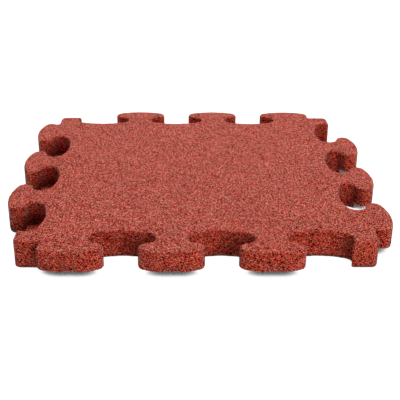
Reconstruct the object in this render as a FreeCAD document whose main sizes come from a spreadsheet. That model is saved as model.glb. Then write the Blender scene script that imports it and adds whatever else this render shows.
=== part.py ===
"""Interlocking rubber safety tile, moulded in one piece from bonded rubber granules.

Every side carries mushroom tabs and the sockets between them, all of one outline. The near and right
sides have raised tabs, which stop above the floor, and sockets cut right through. The far and left
sides have tabs down to the floor, and a ledge at the bottom of their sockets, on which the raised tabs
of a neighbour laid the same way round come to lie.

Frame: millimetres, +Z up, the underside lies on Z = 0 and the tile's middle is on the Z axis; the near
side faces -Y. The mating line of a side is the line that it shares with a neighbour. The tile stays
half the joint clearance inside that line and inside its tabs and sockets.
"""
import FreeCAD, Part
import math
import os

import Sketcher

SIZES = [
    ("laying_size", 500.0, "distance from one laid tile to the next"),
    ("thickness", 40.0, "underside to wearing face"),
    ("tab_lift", 10.0, "floor to the underside of a raised tab"),
    ("ledge_gap", 0.5, "ledge to the raised tab above it"),
    ("tabs_per_side", 3, "tabs on a side, and as many sockets"),
    ("end_piece", 34.0, "plain length between a corner and the nearest lobe"),
    ("lobe_radius", 13.0, "round lobes of a tab's head"),
    ("flank_angle", 15.0, "flank against the mating line, in degrees"),
    ("flank_length", 4.2, "straight flank between a tab's lobe and a socket's lobe"),
    ("head_crown", 6.1, "how far a tab's end bulges past its two lobes"),
    ("joint_clearance", 1.0, "gap between two laid tiles"),
    ("lip_radius", 3.0, "root beside the first tab, and the lip that lies in it"),
    ("corner_radius", 10.0, "upright corners of the tile"),
    ("rim_bevel", 2.0, "bevelled rim of the wearing face"),
    ("arch_width", 20.0, "arched recess at the foot of a raised tab's end"),
    ("arch_height", 9.0, "underside of a raised tab to the crown of its arch"),
    ("arch_depth", 3.5, "how far the arch goes into the tab's end"),
]
FAR, NEAR = 1, -1
QUARTER_TURN = 90

doc = FreeCAD.newDocument("rubber_tile")
sheet = doc.addObject("Spreadsheet::Sheet", "Sizes")
for row, (alias, size, meaning) in enumerate(SIZES, start=1):
    sheet.set(f"A{row}", alias)
    sheet.set(f"B{row}", str(size))
    sheet.set(f"C{row}", meaning)
    sheet.setAlias(f"B{row}", alias)
doc.recompute()
body = doc.addObject("PartDesign::Body", "rubber_tile")
body.Label = "rubber_tile"

# What follows from the sizes, as expressions: places are measured from a tab's middle on the mating line
HALF_GAP = "Sizes.joint_clearance / 2"
HALF_FLANK_X = "(Sizes.flank_length / 2 * cos(Sizes.flank_angle))"
HALF_FLANK_Y = "(Sizes.flank_length / 2 * sin(Sizes.flank_angle))"
LOBE_OFFSET = f"({HALF_FLANK_X} - Sizes.lobe_radius * sin(Sizes.flank_angle))"
ENDS = f"(2 * (Sizes.end_piece + Sizes.lobe_radius + {LOBE_OFFSET}))"
PITCH = f"((Sizes.laying_size - {ENDS}) / Sizes.tabs_per_side)"
LOBE_X = f"({PITCH} / 4 + {LOBE_OFFSET})"
LOBE_Y = f"({HALF_FLANK_Y} + Sizes.lobe_radius * cos(Sizes.flank_angle))"
NECK_LOBE_X = f"({PITCH} / 2 - {LOBE_X})"
REACH = f"({LOBE_Y} + Sizes.lobe_radius + Sizes.head_crown)"
CROWN_RADIUS = (
    f"(({LOBE_X}^2 + (Sizes.lobe_radius + Sizes.head_crown)^2 - Sizes.lobe_radius^2)"
    " / (2 * Sizes.head_crown))"
)
LIP_X = (
    f"({LOBE_X} + sqrt((Sizes.lobe_radius + Sizes.lip_radius)^2"
    f" - ({LOBE_Y} - Sizes.lip_radius)^2))"
)
MATING_LINE = "Sizes.laying_size / 2"
FIRST_TAB = f"((Sizes.tabs_per_side - 0.5) * {PITCH} / 2)"
FIRST_SOCKET = f"({FIRST_TAB} - {PITCH} / 2)"
TAB_END = f"({MATING_LINE} + {REACH} - {HALF_GAP})"
FLOOR = "0"
LEDGE_TOP = "Sizes.tab_lift - Sizes.ledge_gap"


def number(text):
    """Value of an expression over the sheet's cells."""
    found = body.evalExpression(text)
    return float(getattr(found, "Value", found))


def origin_feature(role):
    """Plane or axis of the body's own origin."""
    return next(item for item in body.Origin.OriginFeatures if item.Role == role)


def new_sketch(name, plane="XY_Plane", turn=0, **offset):
    """Sketch on a plane of the origin, turned by so many degrees and moved by x, y or z in that plane."""
    sketch = body.newObject("Sketcher::SketchObject", name)
    sketch.AttachmentSupport = [(origin_feature(plane), "")]
    sketch.MapMode = "FlatFace"
    turned = FreeCAD.Rotation(FreeCAD.Vector(0, 0, 1), turn)
    sketch.AttachmentOffset = FreeCAD.Placement(FreeCAD.Vector(0, 0, 0), turned)
    for direction, distance in offset.items():
        sketch.setExpression(f".AttachmentOffset.Base.{direction}", distance)
    return sketch


def side_sketch(name, side, x, bottom, turn=0):
    """Level sketch on the mating line of the far or near side, at x from its middle."""
    half_turn = 0 if side == FAR else 180
    return new_sketch(name, turn=turn + half_turn, x=f"{side} * {x}", y=f"{side} * {MATING_LINE}", z=bottom)


def bind(sketch, kind, places, text):
    """Dimension of a sketch that keeps the value of an expression."""
    index = sketch.addConstraint(Sketcher.Constraint(kind, *places, number(text)))
    sketch.setExpression(f"Constraints[{index}]", text)


class Outline:
    """Closed chain of arcs and lines, drawn where the expressions put it and held there."""

    START, END, CENTRE = range(1, 4)

    def __init__(self, sketch):
        self.sketch = sketch

    def arc(self, x_text, y_text, radius, first, last, held=True):
        """Arc from the angle first counter-clockwise to last, in degrees; held pins its centre."""
        centre = FreeCAD.Vector(number(x_text), number(y_text), 0)
        circle = Part.Circle(centre, FreeCAD.Vector(0, 0, 1), number(radius))
        piece = self.sketch.addGeometry(Part.ArcOfCircle(circle, math.radians(first), math.radians(last)))
        bind(self.sketch, "Radius", (piece,), radius)
        if held:
            self.pin(piece, self.CENTRE, x_text, y_text)
        return piece

    def line(self, first, last):
        """Straight piece between the ends of two drawn pieces, each given as (piece, end)."""
        ends = [self.sketch.getPoint(*place) for place in (first, last)]
        piece = self.sketch.addGeometry(Part.LineSegment(*ends))
        return piece

    def pin(self, piece, point, x_text, y_text):
        """Hold a point at a place measured from the sketch's origin."""
        bind(self.sketch, "DistanceX", (-1, 1, piece, point), x_text)
        bind(self.sketch, "DistanceY", (-1, 1, piece, point), y_text)

    def smooth(self, first, last):
        """Join two ends with no corner between them."""
        self.sketch.addConstraint(Sketcher.Constraint("Tangent", *first, *last))

    def meet(self, first, last):
        """Join two ends at a corner."""
        self.sketch.addConstraint(Sketcher.Constraint("Coincident", *first, *last))


def draw_mushroom(sketch, shrink):
    """Tab with its neck, symmetric about the sketch's Y axis, smaller all round by shrink.

    The head is a crowned end between two lobes. A straight flank leads from each lobe to the lobe of
    the socket beside it, which the neck follows down to its narrowest place.
    """
    outline = Outline(sketch)
    start, end = outline.START, outline.END
    lobe_radius = f"Sizes.lobe_radius - {shrink}"
    neck_radius = f"Sizes.lobe_radius + {shrink}"
    crown_y = f"({REACH} - {CROWN_RADIUS})"
    shoulder = math.degrees(math.atan2(number(LOBE_Y) - number(crown_y), number(LOBE_X)))
    flank = number("Sizes.flank_angle")

    right = outline.arc(LOBE_X, LOBE_Y, lobe_radius, flank - 90, shoulder)
    crown = outline.arc("0", crown_y, f"{CROWN_RADIUS} - {shrink}", shoulder, 180 - shoulder, held=False)
    left = outline.arc(f"-{LOBE_X}", LOBE_Y, lobe_radius, 180 - shoulder, 270 - flank)
    left_neck = outline.arc(f"-{NECK_LOBE_X}", f"-{LOBE_Y}", neck_radius, 0, 90 - flank)
    right_neck = outline.arc(NECK_LOBE_X, f"-{LOBE_Y}", neck_radius, 90 + flank, 180)
    left_flank = outline.line((left, end), (left_neck, end))
    right_flank = outline.line((right_neck, start), (right, start))
    root = outline.line((left_neck, start), (right_neck, end))

    outline.smooth((right, end), (crown, start))
    outline.smooth((crown, end), (left, start))
    outline.smooth((left, end), (left_flank, start))
    outline.smooth((left_flank, end), (left_neck, end))
    outline.smooth((right_neck, start), (right_flank, start))
    outline.smooth((right_flank, end), (right, start))
    outline.meet((left_neck, start), (root, start))
    outline.meet((root, end), (right_neck, end))
    bind(sketch, "DistanceY", (-1, 1, root, start), f"-{LOBE_Y}")
    sketch.addConstraint(Sketcher.Constraint("Horizontal", root))


def draw_root(sketch, shrink):
    """Wedge between the mating line and a tab's right lobe, closed by an arc that touches both.

    It is drawn well into the tab and past the mating line, where it changes nothing.
    """
    outline = Outline(sketch)
    start, end = outline.START, outline.END
    rise = number(LOBE_Y) - number("Sizes.lip_radius")
    run = number(LIP_X) - number(LOBE_X)
    towards_lobe = math.degrees(math.atan2(rise, -run))
    root = outline.arc(LIP_X, "Sizes.lip_radius", f"Sizes.lip_radius + {shrink}", towards_lobe, 270)
    depth = f"-Sizes.lobe_radius - {shrink}"
    corner_places = [(LOBE_X, LOBE_Y), ("0", depth), (LIP_X, depth)]
    corners = [FreeCAD.Vector(number(x_text), number(y_text), 0) for x_text, y_text in corner_places]
    chain = [sketch.getPoint(root, start), *corners, sketch.getPoint(root, end)]
    sides = [sketch.addGeometry(Part.LineSegment(*pair)) for pair in zip(chain, chain[1:])]
    outline.meet((root, start), (sides[0], start))
    for before, after, place in zip(sides, sides[1:], corner_places):
        outline.meet((before, end), (after, start))
        outline.pin(before, end, *place)
    outline.meet((sides[-1], end), (root, end))
    sketch.addConstraint(Sketcher.Constraint("Vertical", sides[-1]))
    sketch.addConstraint(Sketcher.Constraint("PointOnObject", root, outline.CENTRE, sides[0]))


def draw_arch(sketch):
    """Arch that springs from the sketch's X axis."""
    outline = Outline(sketch)
    start, end = outline.START, outline.END
    rise, span = number("Sizes.arch_height"), number("Sizes.arch_width")
    centre_y = "((Sizes.arch_height^2 - (Sizes.arch_width / 2)^2) / (2 * Sizes.arch_height))"
    spring = -math.degrees(math.asin(number(centre_y) / (rise - number(centre_y))))
    crown = outline.arc("0", centre_y, f"Sizes.arch_height - {centre_y}", spring, 180 - spring)
    sill = outline.line((crown, end), (crown, start))
    outline.meet((crown, end), (sill, start))
    outline.meet((sill, end), (crown, start))
    for point in (start, end):
        sketch.addConstraint(Sketcher.Constraint("PointOnObject", crown, point, -1))


def pad(sketch, name, bottom):
    """Solid from a level sketch up to the wearing face."""
    feature = body.newObject("PartDesign::Pad", name)
    feature.Profile = sketch
    feature.setExpression("Length", f"Sizes.thickness - ({bottom})")
    feature.Refine = True
    return feature


def cut(sketch, name, depth, reverse=True):
    """Cut to a depth: up from a level sketch, or with no reverse inwards from a sketch of the near side."""
    feature = body.newObject("PartDesign::Pocket", name)
    feature.Profile = sketch
    feature.Type = "Length"
    feature.Reversed = reverse
    feature.setExpression("Length", depth)
    feature.Refine = True
    return feature


def set_next_side(turn):
    """Make a polar pattern repeat the far side on the left, or the near side on the right."""
    turn.Axis = (origin_feature("Z_Axis"), [""])
    turn.Mode = "Spacing"
    turn.Offset = QUARTER_TURN
    turn.Occurrences = 2


def on_next_side(features, name):
    """Repeat features on the next side."""
    pattern = body.newObject("PartDesign::PolarPattern", name)
    pattern.Originals = features
    set_next_side(pattern)
    pattern.Refine = True
    body.Tip = pattern
    return pattern


def along_two_sides(feature, name, side):
    """Repeat a feature along its side, one pitch apart, and that row on the next side."""
    pattern = body.newObject("PartDesign::MultiTransform", name)
    pattern.Originals = [feature]
    row = body.newObject("PartDesign::LinearPattern", f"{name}_row")
    row.Direction = (origin_feature("X_Axis"), [""])
    row.Reversed = side == FAR
    row.Mode = "Spacing"
    row.setExpression("Offset", PITCH)
    row.setExpression("Occurrences", "Sizes.tabs_per_side")
    turn = body.newObject("PartDesign::PolarPattern", f"{name}_turn")
    set_next_side(turn)
    pattern.Transformations = [row, turn]
    pattern.Refine = True
    body.Tip = pattern
    return pattern


def draw_square(sketch, half_side):
    """Square about the sketch's origin."""
    half = number(half_side)
    places = [(half, half), (-half, half), (-half, -half), (half, -half)]
    corners = [FreeCAD.Vector(x, y, 0) for x, y in places]
    sides = [
        sketch.addGeometry(Part.LineSegment(first, last))
        for first, last in zip(corners, corners[1:] + corners[:1])
    ]
    outline = Outline(sketch)
    for before, after in zip(sides, sides[1:] + sides[:1]):
        outline.meet((before, outline.END), (after, outline.START))
    for side, direction in zip(sides, ("Horizontal", "Vertical", "Horizontal", "Vertical")):
        sketch.addConstraint(Sketcher.Constraint(direction, side))
    outline.pin(sides[0], outline.START, half_side, half_side)
    outline.pin(sides[2], outline.START, f"-({half_side})", f"-({half_side})")


def upright_edges(feature):
    """Names of a feature's edges that run along Z."""
    edges = enumerate(feature.Shape.Edges, start=1)
    return [f"Edge{index}" for index, edge in edges if abs(edge.tangentAt(edge.FirstParameter).z) > 0.5]


def top_face(feature):
    """Name of a feature's highest face."""
    faces = enumerate(feature.Shape.Faces, start=1)
    index, _ = max(faces, key=lambda numbered: numbered[1].CenterOfMass.z)
    return f"Face{index}"


def dress(kind, feature, places, dimension, size, name):
    """Fillet or chamfer on edges of a feature, or on all edges of one of its faces."""
    dressed = body.newObject(f"PartDesign::{kind}", name)
    dressed.Base = (feature, places)
    dressed.setExpression(dimension, size)
    body.Tip = dressed
    return dressed


def check_step(before, after, grows):
    """Stop unless a feature added or removed material as it should."""
    change = after.Shape.Volume - before.Shape.Volume
    if not after.Shape.isValid() or (change > 0) != grows or change == 0:
        raise RuntimeError(f"{after.Name} changed the volume by {change:.1f} mm3 after {before.Name}")


# Square slab, half the clearance inside the mating lines
slab_outline = new_sketch("slab_outline")
draw_square(slab_outline, f"{MATING_LINE} - {HALF_GAP}")
slab = pad(slab_outline, "slab", FLOOR)
doc.recompute()
slab_corners = dress("Fillet", slab, upright_edges(slab), "Radius", "Sizes.corner_radius", "slab_corners")

# Tabs, sockets and side ends: the far and left sides with their ledges, then the near and right sides
steps = [(slab, slab_corners, False)]
last = slab_corners
for kind, side, tab_bottom, socket_bottom in [
    ("standing", FAR, FLOOR, LEDGE_TOP),
    ("raised", NEAR, "Sizes.tab_lift", FLOOR),
]:
    # Tabs
    tab_outline = side_sketch(f"{kind}_tab_outline", side, FIRST_TAB, tab_bottom)
    draw_mushroom(tab_outline, HALF_GAP)
    tabs = along_two_sides(pad(tab_outline, f"{kind}_tab", tab_bottom), f"{kind}_tabs", side)

    # Sockets between the tabs: each is a neighbour's tab coming in, larger by the clearance
    socket_outline = side_sketch(f"{kind}_socket_outline", side, FIRST_SOCKET, socket_bottom, turn=180)
    draw_mushroom(socket_outline, f"-({HALF_GAP})")
    socket = cut(socket_outline, f"{kind}_socket", f"Sizes.thickness - ({socket_bottom})")
    sockets = along_two_sides(socket, f"{kind}_sockets", side)

    # Rounded root beside a side's first tab, and its last socket's lip, which lies in a neighbour's root
    root_outline = side_sketch(f"{kind}_root_outline", side, FIRST_TAB, tab_bottom)
    draw_root(root_outline, HALF_GAP)
    root = pad(root_outline, f"{kind}_root", tab_bottom)
    lip_outline = side_sketch(f"{kind}_lip_outline", side, f"-1 * {FIRST_TAB}", socket_bottom, turn=180)
    draw_root(lip_outline, f"-({HALF_GAP})")
    lip = cut(lip_outline, f"{kind}_lip", f"Sizes.thickness - ({socket_bottom})")
    side_ends = on_next_side([root, lip], f"{kind}_side_ends")
    steps += [(last, tabs, True), (tabs, sockets, False), (sockets, root, True), (root, lip, False)]
    last = side_ends
doc.recompute()

# Bevelled rim of the wearing face
rim = dress("Chamfer", side_ends, [top_face(side_ends)], "Size", "Sizes.rim_bevel", "rim")

# Arched recess at the foot of each raised tab's end, open to the tab's underside
arch_place = {"x": f"{NEAR} * {FIRST_TAB}", "y": "Sizes.tab_lift", "z": TAB_END}
arch_outline = new_sketch("arch_outline", "XZ_Plane", **arch_place)
draw_arch(arch_outline)
arch = cut(arch_outline, "arch", "Sizes.arch_depth", reverse=False)
arches = along_two_sides(arch, "arches", NEAR)
steps += [(side_ends, rim, False), (rim, arches, False)]
doc.recompute()

failed = [item.Name for item in doc.Objects if {"Invalid", "Error"} & set(item.State)]
if failed:
    raise RuntimeError(f"features failed: {failed}")
sketches = [item for item in doc.Objects if item.TypeId == "Sketcher::SketchObject"]
loose = [sketch.Name for sketch in sketches if not sketch.FullyConstrained]
if loose:
    raise RuntimeError(f"sketches are not fully constrained: {loose}")
for before, after, grows in steps:
    check_step(before, after, grows)
if body.Shape.isNull() or not body.Shape.isValid() or len(body.Shape.Solids) != 1:
    raise RuntimeError("the tile is not one valid solid")

os.makedirs("parts", exist_ok=True)
body.Shape.exportStep(f"parts/{body.Label}.step")
size = body.Shape.optimalBoundingBox()
litres = body.Shape.Volume / 1e6
print(f"{body.Label}: {size.XLength:.2f} x {size.YLength:.2f} x {size.ZLength:.2f} mm, {litres:.3f} litres")
print(f"pitch {number(PITCH):.2f} mm, tabs reach {number(REACH):.2f} mm past the mating line")
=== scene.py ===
"""Interlocking rubber safety tile on a white studio floor.

The tile's node is a smooth moulding. The piece made here has the same shape and the relief of bonded
granules: clumps, granules and crumbly rims in its mesh, and the finest granules in its material.
Everything is in metres, in the frame of the tile: +Z up, the underside on Z = 0.
"""
import math
from typing import NamedTuple

import bmesh
import bpy
import numpy as np
from mathutils import Matrix, Vector


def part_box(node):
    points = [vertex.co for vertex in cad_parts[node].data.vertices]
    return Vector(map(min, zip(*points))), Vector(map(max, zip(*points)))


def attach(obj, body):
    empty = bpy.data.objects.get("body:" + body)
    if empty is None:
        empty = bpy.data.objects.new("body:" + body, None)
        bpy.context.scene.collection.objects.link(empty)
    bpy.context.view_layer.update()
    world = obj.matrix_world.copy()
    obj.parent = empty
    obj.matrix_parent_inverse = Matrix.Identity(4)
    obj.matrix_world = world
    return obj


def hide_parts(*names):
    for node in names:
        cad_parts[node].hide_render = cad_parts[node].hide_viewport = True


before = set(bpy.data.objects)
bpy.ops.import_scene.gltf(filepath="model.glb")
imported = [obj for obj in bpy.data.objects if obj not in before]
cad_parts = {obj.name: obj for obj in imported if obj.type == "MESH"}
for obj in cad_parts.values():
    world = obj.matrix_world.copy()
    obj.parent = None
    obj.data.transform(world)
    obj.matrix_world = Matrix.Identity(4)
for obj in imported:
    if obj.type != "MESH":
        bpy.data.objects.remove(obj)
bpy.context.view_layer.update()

FLOOR_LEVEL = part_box("rubber_tile")[0].z


class Relief(NamedTuple):
    """Lumps of one size that the surface is pushed in between."""

    size: float
    depth: float
    gap_share: float  # of the depth: the rest is how low the lump itself lies
    salt: int  # gives the lumps random numbers of their own


# Even mesh of the moulding
WELD_DISTANCE = 1e-6
VOXEL = 0.0022
# A vertex faces the floor when its normal's Z is below this
FACING_DOWN = -0.999
# Share of the vertices facing the floor that is taken out
UNDERSIDE_CUT = 0.95
# How far the surface has to be hollowed at a vertex for a crease to begin and to be full
CREASE_FROM, CREASE_FULL = 0.00012, 0.00030

# Relief of the mesh
CLUMPS = Relief(size=0.0085, depth=0.00006, gap_share=0.3, salt=11)
GRANULES = Relief(size=0.0030, depth=0.00009, gap_share=0.6, salt=29)
# Width of a gap against the size of a lump, and how quickly the gap falls away
GAP_WIDTH, GAP_STEEPNESS = 0.45, 1.5
RIM_DEPTH = 0.0004
# Z of the normal in the middle of a rim, up or down, and how far from it a rim ends
RIM_SLOPE, RIM_SPREAD = 0.7, 0.6

# Primes, shifts and bit masks of the hash that gives the random numbers
CELL_PRIMES = (73856093, 19349663, 83492791)
SALT_PRIME = 2654435761
MIXING_STEPS = ((13, 1274126177), (16, 2246822519))
LAST_SHIFT = 15
LOW_32_BITS, LOW_24_BITS = 0xFFFFFFFF, 0xFFFFFF

# Granules in the material: cells to the metre
GRAIN_SCALE = 1200.0
CRUMB_SCALE = 1850.0
PATCH_SCALE = 28.0
# Bending of the granules' straight edges
WARP_SCALE, WARP_REACH = 700.0, 0.0009
# How strongly crumbs and gaps darken the granules
CRUMB_CONTRAST, GAP_CONTRAST = 0.8, 0.85
# Painted shade: what a full crease multiplies the colour by
CREASE_SHADE = (0.50, 0.42, 0.42, 1.0)
# How far up the walls the painted contact shadow at the foot reaches
FOOT_SHADE_HEIGHT = 0.005
# Bump height, and what gaps, granules and crumbs add of it
BUMP_HEIGHT = 0.0005
GAP_BUMP, GRAIN_BUMP, CRUMB_BUMP = 0.7, 0.5, 0.25

# Studio
FLOOR_HALF = 6.0
# What the floor throws back onto the tile
FLOOR_COLOUR = (0.8, 0.8, 0.8, 1.0)
# How near the tile has to be for its contact shadow
CONTACT_REACH = 0.03
# Share of the floor's look that takes the soft shadow of the lamps
SHADED_SHARE = 0.2
WORLD_LIGHT = 0.05
WHITE = (1.0, 1.0, 1.0, 1.0)

# Camera, fitted to the photograph, with its angles in degrees
IMAGE_SIDE = 400
FOCAL_PIXELS = 828.5
CAMERA_TARGET = Vector((0.0074, -0.0323, FLOOR_LEVEL))
CAMERA_DISTANCE = 1.3320
CAMERA_ELEVATION = 25.25
CAMERA_YAW = 0.91
CAMERA_ROLL = 0.42
CAMERA_CLIP = (0.05, 50)


def lattice_noise(cell, salt):
    """Numbers from 0 to 1 that depend only on a lattice cell, given as three integer columns."""
    mixed = salt * SALT_PRIME
    for axis, prime in enumerate(CELL_PRIMES):
        mixed = mixed ^ cell[..., axis] * prime
    for shift, prime in MIXING_STEPS:
        mixed = (mixed ^ (mixed >> shift)) * prime & LOW_32_BITS
    return ((mixed ^ (mixed >> LAST_SHIFT)) & LOW_24_BITS) / LOW_24_BITS


def lumps(places, size, salt):
    """For each place, how deep it lies in a gap between lumps, and its lump's own number, from 0 to 1."""
    cells = np.floor(places / size).astype(np.int64)
    nearest = np.full(len(places), np.inf)
    second = np.full(len(places), np.inf)
    own = np.zeros(len(places))
    steps = np.stack(np.meshgrid(*[(-1, 0, 1)] * 3, indexing="ij"), -1).reshape(-1, 3)
    for step in steps:
        cell = cells + step
        jitter = np.stack([lattice_noise(cell, salt + axis) for axis in range(3)], -1)
        distance = np.linalg.norm(places / size - (cell + jitter), axis=1)
        closer = distance < nearest
        second = np.where(closer, nearest, np.minimum(second, distance))
        own = np.where(closer, lattice_noise(cell, salt + 3), own)
        nearest = np.where(closer, distance, nearest)
    gap = np.clip(1 - (second - nearest) / GAP_WIDTH, 0, 1) ** GAP_STEEPNESS
    return gap, own


def relief_depth(places, relief):
    """How far a relief pushes each place in, and the own number of the lump there."""
    gap, own = lumps(places, relief.size, relief.salt)
    return relief.depth * (relief.gap_share * gap + (1 - relief.gap_share) * own), own


def applied(piece):
    """Give the piece the mesh that its modifiers make."""
    evaluated = piece.evaluated_get(bpy.context.evaluated_depsgraph_get())
    piece.data = bpy.data.meshes.new_from_object(evaluated)
    piece.modifiers.clear()


def vertex_rows(mesh, source, attribute):
    """Vectors of a mesh's vertices, one row each."""
    values = np.empty(len(mesh.vertices) * 3, np.float32)
    source.foreach_get(attribute, values)
    return values.reshape(-1, 3).astype(float)


def places_of(mesh):
    """Coordinates of a mesh's vertices, one row each."""
    return vertex_rows(mesh, mesh.vertices, "co")


def normals_of(mesh):
    """Normals of a mesh's vertices, one row each."""
    return vertex_rows(mesh, mesh.vertex_normals, "vector")


def remeshed(source, name):
    """Even, closed mesh of the node's shape, fine where it is seen and coarse where it faces the floor."""
    joined = bmesh.new()
    joined.from_mesh(source.data)
    bmesh.ops.remove_doubles(joined, verts=joined.verts, dist=WELD_DISTANCE)
    mesh = bpy.data.meshes.new(name)
    joined.to_mesh(mesh)
    joined.free()
    piece = bpy.data.objects.new(name, mesh)
    bpy.context.scene.collection.objects.link(piece)
    even = piece.modifiers.new("even", "REMESH")
    even.mode = "VOXEL"
    even.voxel_size = VOXEL
    # The even mesh rounds off small forms, so it is fitted back onto the node
    fit = piece.modifiers.new("fit", "SHRINKWRAP")
    fit.target = source
    fit.wrap_method = "NEAREST_SURFACEPOINT"
    applied(piece)

    # The underside is flat, and so are the undersides of the raised tabs
    facing_down = np.nonzero(normals_of(piece.data)[:, 2] < FACING_DOWN)[0]
    underside = piece.vertex_groups.new(name="underside")
    underside.add([int(index) for index in facing_down], 1.0, "REPLACE")
    coarse = piece.modifiers.new("coarse", "DECIMATE")
    coarse.ratio = 1 - UNDERSIDE_CUT * len(facing_down) / len(piece.data.vertices)
    coarse.vertex_group = underside.name
    applied(piece)
    piece.vertex_groups.clear()
    piece.data.shade_smooth()
    return piece


def mark_creases(mesh):
    """Store at each vertex how sharply the surface turns inwards there, from 0 to 1, for the painted shade in
    creases.
    """
    places = places_of(mesh)
    ends = np.empty(len(mesh.edges) * 2, np.int32)
    mesh.edges.foreach_get("vertices", ends)
    ends = ends.reshape(-1, 2)
    around = np.zeros_like(places)
    count = np.zeros(len(places))
    for here, there in ((0, 1), (1, 0)):
        np.add.at(around, ends[:, here], places[ends[:, there]])
        np.add.at(count, ends[:, here], 1)
    hollow = np.einsum("ij,ij->i", around / count[:, None] - places, normals_of(mesh))
    crease_shade = np.clip((hollow - CREASE_FROM) / (CREASE_FULL - CREASE_FROM), 0, 1)
    stored = mesh.attributes.new("crease_shade", "FLOAT", "POINT")
    stored.data.foreach_set("value", crease_shade.astype(np.float32))


def roughen(mesh):
    """Push the surface in between the clumps and granules, and more so along the rims, never outwards."""
    places = places_of(mesh)
    normals = normals_of(mesh)
    clump_depth, _ = relief_depth(places, CLUMPS)
    granule_depth, granule = relief_depth(places, GRANULES)
    rim = np.clip(1 - np.abs(np.abs(normals[:, 2]) - RIM_SLOPE) / RIM_SPREAD, 0, 1)
    depth = clump_depth + granule_depth + RIM_DEPTH * rim * granule
    places -= normals * depth[:, None]
    mesh.vertices.foreach_set("co", places.ravel())
    mesh.update()


class Nodes:
    """A node tree that is filled from code."""

    def __init__(self, tree):
        self.tree = tree
        tree.nodes.clear()

    def add(self, kind, settings=None, **inputs):
        """Node with its settings, and its sockets set or joined.

        A socket goes by its name, with underscores for spaces, or by i and its place among the inputs.
        """
        node = self.tree.nodes.new(kind)
        for key, value in (settings or {}).items():
            setattr(node, key, value)
        for key, value in inputs.items():
            by_place = key[0] == "i" and key[1:].isdigit()
            socket = node.inputs[int(key[1:]) if by_place else key.replace("_", " ")]
            if isinstance(value, bpy.types.NodeSocket):
                self.tree.links.new(value, socket)
            else:
                socket.default_value = value
        return node

    def ramp(self, factor, stops):
        """Colour ramp with stops given as (place, value or colour)."""
        node = self.add("ShaderNodeValToRGB", Fac=factor)
        elements = node.color_ramp.elements
        while len(elements) < len(stops):
            elements.new(0.5)
        for element, (place, colour) in zip(elements, stops):
            element.position = place
            element.color = (*colour, 1) if isinstance(colour, tuple) else (colour, colour, colour, 1)
        return node.outputs["Color"]

    def multiply(self, colour, by, strength=1.0):
        """Colour multiplied by another one."""
        settings = {"data_type": "RGBA", "blend_type": "MULTIPLY"}
        return self.add("ShaderNodeMix", settings, i0=strength, i6=colour, i7=by).outputs[2]

    def math(self, operation, *values):
        """Sum, product or the like of numbers."""
        inputs = {f"i{place}": value for place, value in enumerate(values)}
        return self.add("ShaderNodeMath", {"operation": operation}, **inputs).outputs[0]


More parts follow.
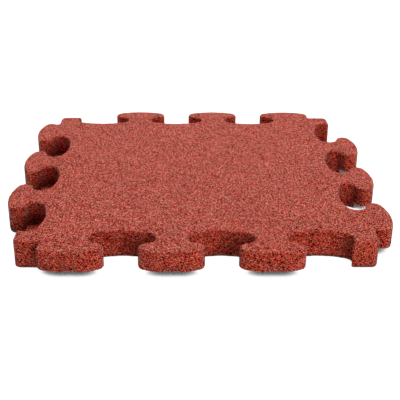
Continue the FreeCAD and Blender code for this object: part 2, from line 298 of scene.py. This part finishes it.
def rubber_granulate():
    """Red rubber granules of mixed size and shade, pressed together, with dark gaps between them."""
    material = bpy.data.materials.new("red_rubber_granulate")
    material.use_nodes = True
    nodes = Nodes(material.node_tree)
    place = nodes.add("ShaderNodeTexCoord").outputs["Object"]
    warp = nodes.add("ShaderNodeTexNoise", Vector=place, Scale=WARP_SCALE, Detail=2.0).outputs["Color"]
    warped = nodes.add(
        "ShaderNodeVectorMath", {"operation": "MULTIPLY_ADD"}, i0=warp, i1=(WARP_REACH,) * 3, i2=place
    ).outputs["Vector"]

    grain = nodes.add("ShaderNodeTexVoronoi", Vector=warped, Scale=GRAIN_SCALE)
    grain_edge = nodes.add(
        "ShaderNodeTexVoronoi", {"feature": "DISTANCE_TO_EDGE"}, Vector=warped, Scale=GRAIN_SCALE
    )
    crumb = nodes.add("ShaderNodeTexVoronoi", Vector=warped, Scale=CRUMB_SCALE)
    # Each granule's and each crumb's own random numbers
    grain_own = nodes.add("ShaderNodeSeparateColor", Color=grain.outputs["Color"]).outputs
    crumb_own = nodes.add("ShaderNodeSeparateColor", Color=crumb.outputs["Color"]).outputs

    colour = nodes.ramp(
        grain_own["Red"],
        [
            (0.00, (0.004, 0.000, 0.000)),
            (0.37, (0.050, 0.001, 0.000)),
            (0.46, (0.420, 0.018, 0.006)),
            (0.58, (0.950, 0.050, 0.018)),
            (0.80, (1.000, 0.100, 0.045)),
            (1.00, (1.000, 0.260, 0.170)),
        ],
    )
    crumb_shade = nodes.ramp(crumb_own["Green"], [(0.0, 0.5), (0.5, 1.0), (1.0, 1.5)])
    colour = nodes.multiply(colour, crumb_shade, CRUMB_CONTRAST)
    gap = nodes.ramp(grain_edge.outputs["Distance"], [(0.0, 0.5), (0.10, 0.9), (0.20, 1.0)])
    colour = nodes.multiply(colour, gap, GAP_CONTRAST)
    patches = nodes.add("ShaderNodeTexNoise", Vector=place, Scale=PATCH_SCALE, Detail=4.0).outputs["Fac"]
    colour = nodes.multiply(colour, nodes.ramp(patches, [(0.25, 0.93), (0.75, 1.07)]))
    # Painted contact shadow: the foot of the walls is darkened, and the underside below it isn't
    above_floor = nodes.add("ShaderNodeSeparateXYZ", Vector=place).outputs["Z"]
    up_the_foot = nodes.math("DIVIDE", above_floor, FOOT_SHADE_HEIGHT)
    foot_shade = nodes.ramp(up_the_foot, [(0.0, 1.0), (0.06, 1.0), (0.08, 0.15), (0.40, 0.4), (1.0, 1.0)])
    colour = nodes.multiply(colour, foot_shade)
    # Painted shade in creases and recesses, darkest where the surface turns most sharply inwards
    crease_shade = nodes.add("ShaderNodeAttribute", {"attribute_name": "crease_shade"}).outputs["Fac"]
    colour = nodes.multiply(colour, CREASE_SHADE, crease_shade)

    height = nodes.math(
        "ADD",
        nodes.math("MULTIPLY", gap, GAP_BUMP),
        nodes.math("MULTIPLY", grain_own["Green"], GRAIN_BUMP),
    )
    height = nodes.math("ADD", height, nodes.math("MULTIPLY", crumb_own["Red"], CRUMB_BUMP))
    bump = nodes.add("ShaderNodeBump", Height=height, Strength=1.0, Distance=BUMP_HEIGHT)
    # Only the lighter granules shine or carry dust
    shader = nodes.add(
        "ShaderNodeBsdfPrincipled",
        Base_Color=colour,
        Roughness=nodes.ramp(grain_own["Blue"], [(0.0, 0.35), (1.0, 0.75)]),
        Normal=bump.outputs["Normal"],
        IOR=1.8,
        Specular_IOR_Level=nodes.ramp(grain_own["Red"], [(0.60, 0.0), (1.0, 1.0)]),
        Specular_Tint=(1.0, 0.60, 0.45, 1.0),
        Sheen_Weight=nodes.ramp(grain_own["Red"], [(0.50, 0.0), (1.0, 1.0)]),
        Sheen_Roughness=0.35,
        Sheen_Tint=(1.0, 0.92, 0.85, 1.0),
    )
    nodes.add("ShaderNodeOutputMaterial", Surface=shader.outputs["BSDF"])
    return material


def seen_or_lit(nodes, seen, lit):
    """One shader for the camera, reflections and transmission, and the other to light the scene."""
    rays = nodes.add("ShaderNodeLightPath").outputs
    seen_rays = nodes.math("MAXIMUM", rays["Is Camera Ray"], rays["Is Glossy Ray"])
    seen_rays = nodes.math("MAXIMUM", seen_rays, rays["Is Transmission Ray"])
    return nodes.add("ShaderNodeMixShader", i0=seen_rays, i1=lit, i2=seen).outputs["Shader"]


def white_floor():
    """White that keeps a faint shadow, and a dark one close to the tile and under its raised tabs."""
    material = bpy.data.materials.new("white_floor")
    material.use_nodes = True
    nodes = Nodes(material.node_tree)
    lit = nodes.add("ShaderNodeBsdfDiffuse", Color=FLOOR_COLOUR).outputs["BSDF"]
    openness = nodes.add(
        "ShaderNodeAmbientOcclusion", {"samples": 16}, Distance=CONTACT_REACH
    ).outputs["AO"]
    contact = nodes.ramp(openness, [(0.0, 0.05), (0.21, 0.20), (0.29, 0.85), (0.44, 1.0)])
    # After the mix, the glow alone is white
    glow = nodes.add("ShaderNodeEmission", Color=contact, Strength=1 / (1 - SHADED_SHARE)).outputs["Emission"]
    shaded = nodes.add("ShaderNodeBsdfDiffuse", Color=contact).outputs["BSDF"]
    seen = nodes.add("ShaderNodeMixShader", i0=SHADED_SHARE, i1=glow, i2=shaded).outputs["Shader"]
    nodes.add("ShaderNodeOutputMaterial", Surface=seen_or_lit(nodes, seen, lit))
    return material


def studio_floor():
    """Wide flat floor that the tile lies on."""
    signs = [(-1, -1), (1, -1), (1, 1), (-1, 1)]
    corners = [(across * FLOOR_HALF, along * FLOOR_HALF, FLOOR_LEVEL) for across, along in signs]
    mesh = bpy.data.meshes.new("floor")
    mesh.from_pydata(corners, [], [(0, 1, 2, 3)])
    mesh.materials.append(white_floor())
    floor = bpy.data.objects.new("floor", mesh)
    bpy.context.scene.collection.objects.link(floor)


def studio_world():
    """Faint even light from all round, white to the camera."""
    world = bpy.data.worlds.new("studio")
    bpy.context.scene.world = world
    world.use_nodes = True
    nodes = Nodes(world.node_tree)
    lit = nodes.add("ShaderNodeBackground", Color=WHITE, Strength=WORLD_LIGHT).outputs["Background"]
    seen = nodes.add("ShaderNodeBackground", Color=WHITE, Strength=1.0).outputs["Background"]
    nodes.add("ShaderNodeOutputWorld", Surface=seen_or_lit(nodes, seen, lit))


def soft_light(name, place, side, power):
    """Square area light that faces the middle of the tile's underside."""
    light = bpy.data.lights.new(name, "AREA")
    light.shape = "SQUARE"
    light.size = side
    light.energy = power
    lamp = bpy.data.objects.new(name, light)
    lamp.location = place
    lamp.rotation_mode = "QUATERNION"
    lamp.rotation_quaternion = (-Vector(place)).to_track_quat("-Z", "Y")
    bpy.context.scene.collection.objects.link(lamp)


def photo_camera():
    """Camera at the photograph's viewpoint."""
    yaw, elevation = math.radians(CAMERA_YAW), math.radians(CAMERA_ELEVATION)
    level_part = math.cos(elevation)
    ahead = Vector((math.sin(yaw) * level_part, math.cos(yaw) * level_part, -math.sin(elevation)))
    data = bpy.data.cameras.new("photo_camera")
    data.lens = FOCAL_PIXELS / IMAGE_SIDE * data.sensor_width
    data.clip_start, data.clip_end = CAMERA_CLIP
    camera = bpy.data.objects.new("photo_camera", data)
    upright = ahead.to_track_quat("-Z", "Y").to_matrix()
    rolled = upright @ Matrix.Rotation(math.radians(CAMERA_ROLL), 3, "Z")
    camera.matrix_world = Matrix.Translation(CAMERA_TARGET - ahead * CAMERA_DISTANCE) @ rolled.to_4x4()
    bpy.context.scene.collection.objects.link(camera)
    bpy.context.scene.camera = camera


tile = remeshed(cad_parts["rubber_tile"], "granulate_tile")
mark_creases(tile.data)
roughen(tile.data)
tile.data.materials.clear()
tile.data.materials.append(rubber_granulate())
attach(tile, "root")
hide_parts("rubber_tile")

studio_floor()
studio_world()
soft_light("overhead_behind", place=(0.22, 3.15, 4.05), side=2.55, power=316)
soft_light("front_right", place=(1.15, -2.3, 0.5), side=1.3, power=35)
photo_camera()
bpy.context.scene.view_settings.view_transform = "Standard"
